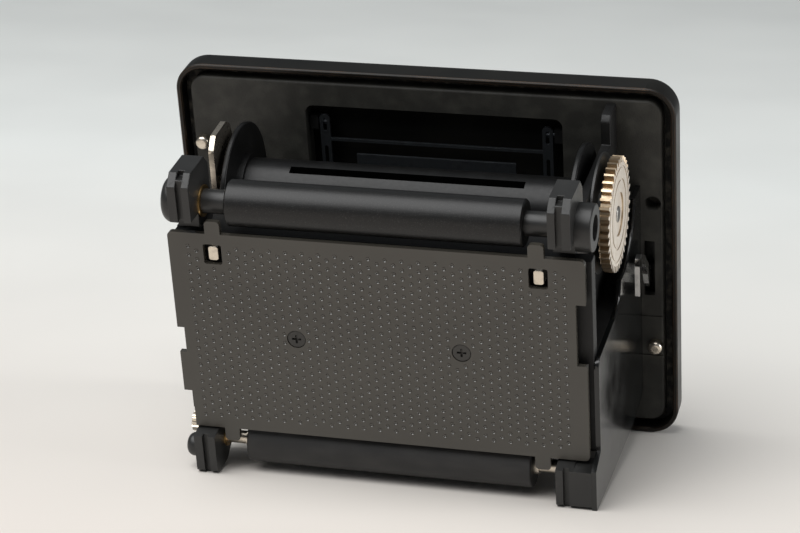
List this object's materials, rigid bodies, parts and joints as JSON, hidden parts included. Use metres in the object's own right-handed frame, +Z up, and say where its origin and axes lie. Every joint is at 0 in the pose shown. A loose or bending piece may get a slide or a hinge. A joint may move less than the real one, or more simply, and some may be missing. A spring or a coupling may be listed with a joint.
{
  "type": "roll film insert",
  "caption": "Medium-format roll-film insert with dimpled pressure plate, two film rollers, take-up spool, toothed drive wheel and latching back cover.",
  "frame": {"origin": "middle of the pressure plate's film face", "axes": "+X along the film gate's long side towards the toothed wheel, +Y from the film plane back to the cover, +Z up, from the supply roll to the take-up spool"},
  "size_m": [0.0962, 0.0556, 0.073],
  "materials": {
    "cover_paint": "satin black paint, brass showing at worn edges",
    "seal_foam": "dusty black foam",
    "panel_plastic": "fine-grained black",
    "nickel": "bright nickel plate",
    "steel_screw": "plain",
    "chrome": "mirror chrome",
    "spring_steel": "blackened spring steel",
    "chassis_plastic": "satin black moulding",
    "gloss_black": "polished black, mirror-like",
    "bracket_paint": "satin black paint over cast metal",
    "brass": "plain brass",
    "plate_paint": "matte warm dark grey coating with stamped dimples",
    "roller_black": "satin black with fine sparkle",
    "roller_rubber": "black rubber",
    "wheel_nickel": "warm nickel, turned",
    "spool_plastic": "satin black"
  },
  "bodies": {
    "chassis": {"cover_shell": "cover_paint", "cover_light_seal": "seal_foam", "inner_panel": "panel_plastic", "locating_pins": "nickel", "panel_screws": "steel_screw", "latch_guide_rivets": "steel_screw", "lock_escutcheon": "bracket_paint", "roll_guide_supports": "chassis_plastic", "front_bridge": "chassis_plastic", "spool_divider": "chassis_plastic", "left_cheek": "chassis_plastic", "right_cheek": "chassis_plastic", "right_ledge": "chassis_plastic", "right_side_cover": "gloss_black", "supply_floor": "chassis_plastic", "top_left_bracket": "bracket_paint", "top_right_bracket": "bracket_paint", "top_left_cap": "bracket_paint", "top_right_tube": "bracket_paint", "top_roller_bushes": "brass", "bottom_left_foot": "bracket_paint", "bottom_right_foot": "bracket_paint", "bottom_roller_bushes": "brass", "foot_stud": "bracket_paint", "eccentric_screw": "nickel", "plate_guide_pins": "nickel", "plate_leaf_springs": "spring_steel", "lever_hinge_pins": "steel_screw", "supply_stud": "nickel", "supply_brake_spring": "spring_steel"},
    "takeup_drive": {"takeup_wheel": "wheel_nickel", "wheel_guard_disc": "bracket_paint", "takeup_drive_shaft": "steel_screw", "takeup_spool": "spool_plastic"},
    "upper_roller": {"top_roller": "roller_black", "top_roller_axle": "bracket_paint"},
    "lower_roller": {"bottom_roller": "roller_rubber", "bottom_roller_axle": "nickel"},
    "film_plate": {"pressure_plate": "plate_paint", "pressure_plate_screws": "steel_screw", "plate_spring_bar": "spring_steel"},
    "takeup_release": {"takeup_lever": "nickel", "takeup_spool_pin": "nickel"},
    "supply_release": {"supply_lever": "nickel", "supply_spool_pin": "nickel"},
    "film_guide": {"roll_guide": "spring_steel"},
    "lock_key": {"lock_key_hub": "nickel", "lock_cam_disc": "steel_screw", "handle_pin": "steel_screw"},
    "key_grip": {"lock_key_handle": "nickel"},
    "latch": {"latch_slide": "chrome"}
  },
  "joints": [
    {"name": "takeup_spin", "type": "hinge", "parent": "chassis", "child": "takeup_drive", "pos_m": [0, 0.026, 0.016], "axis": [1, 0, 0], "continuous": true},
    {"name": "upper_roller_spin", "type": "hinge", "parent": "chassis", "child": "upper_roller", "pos_m": [0, 0.0042, 0.0244], "axis": [1, 0, 0], "continuous": true},
    {"name": "lower_roller_spin", "type": "hinge", "parent": "chassis", "child": "lower_roller", "pos_m": [0, 0.0042, -0.0244], "axis": [1, 0, 0], "continuous": true},
    {"name": "plate_press", "type": "slide", "parent": "chassis", "child": "film_plate", "axis": [0, 1, 0], "range_m": [0, 0.0008], "stiffness_N_per_m": 900, "springref_m": -0.001, "deforming": ["plate_leaf_springs"]},
    {"name": "takeup_lever_swing", "type": "hinge", "parent": "chassis", "child": "takeup_release", "pos_m": [-0.0339, 0.026, 0.004], "axis": [0, -1, 0], "range_deg": [0, 10], "stiffness_Nm_per_rad": 0.02, "springref_deg": -11.46},
    {"name": "supply_lever_swing", "type": "hinge", "parent": "chassis", "child": "supply_release", "pos_m": [-0.0339, 0.026, -0.001], "axis": [0, 1, 0], "range_deg": [0, 10], "stiffness_Nm_per_rad": 0.02, "springref_deg": -11.46},
    {"name": "film_guide_swing", "type": "hinge", "parent": "chassis", "child": "film_guide", "pos_m": [0, 0.0459, 0.0214], "axis": [-1, 0, 0], "range_deg": [0, 12], "stiffness_Nm_per_rad": 0.004, "springref_deg": -14.32},
    {"name": "lock_turn", "type": "hinge", "parent": "chassis", "child": "lock_key", "pos_m": [-0.0021, 0.0464, -0.0035], "axis": [0, 1, 0], "range_deg": [0, 90]},
    {"name": "grip_fold", "type": "hinge", "parent": "lock_key", "child": "key_grip", "pos_m": [-0.0021, 0.052, -0.0035], "axis": [-1, 0, 0], "range_deg": [0, 90]},
    {"name": "latch_travel", "type": "slide", "parent": "chassis", "child": "latch", "axis": [0, 0, -1], "range_m": [0, 0.0025]}
  ],
  "couplings": [
    {"joint": "latch_travel", "follows": "lock_turn", "m_per_rad": 0.0015915}
  ]
}
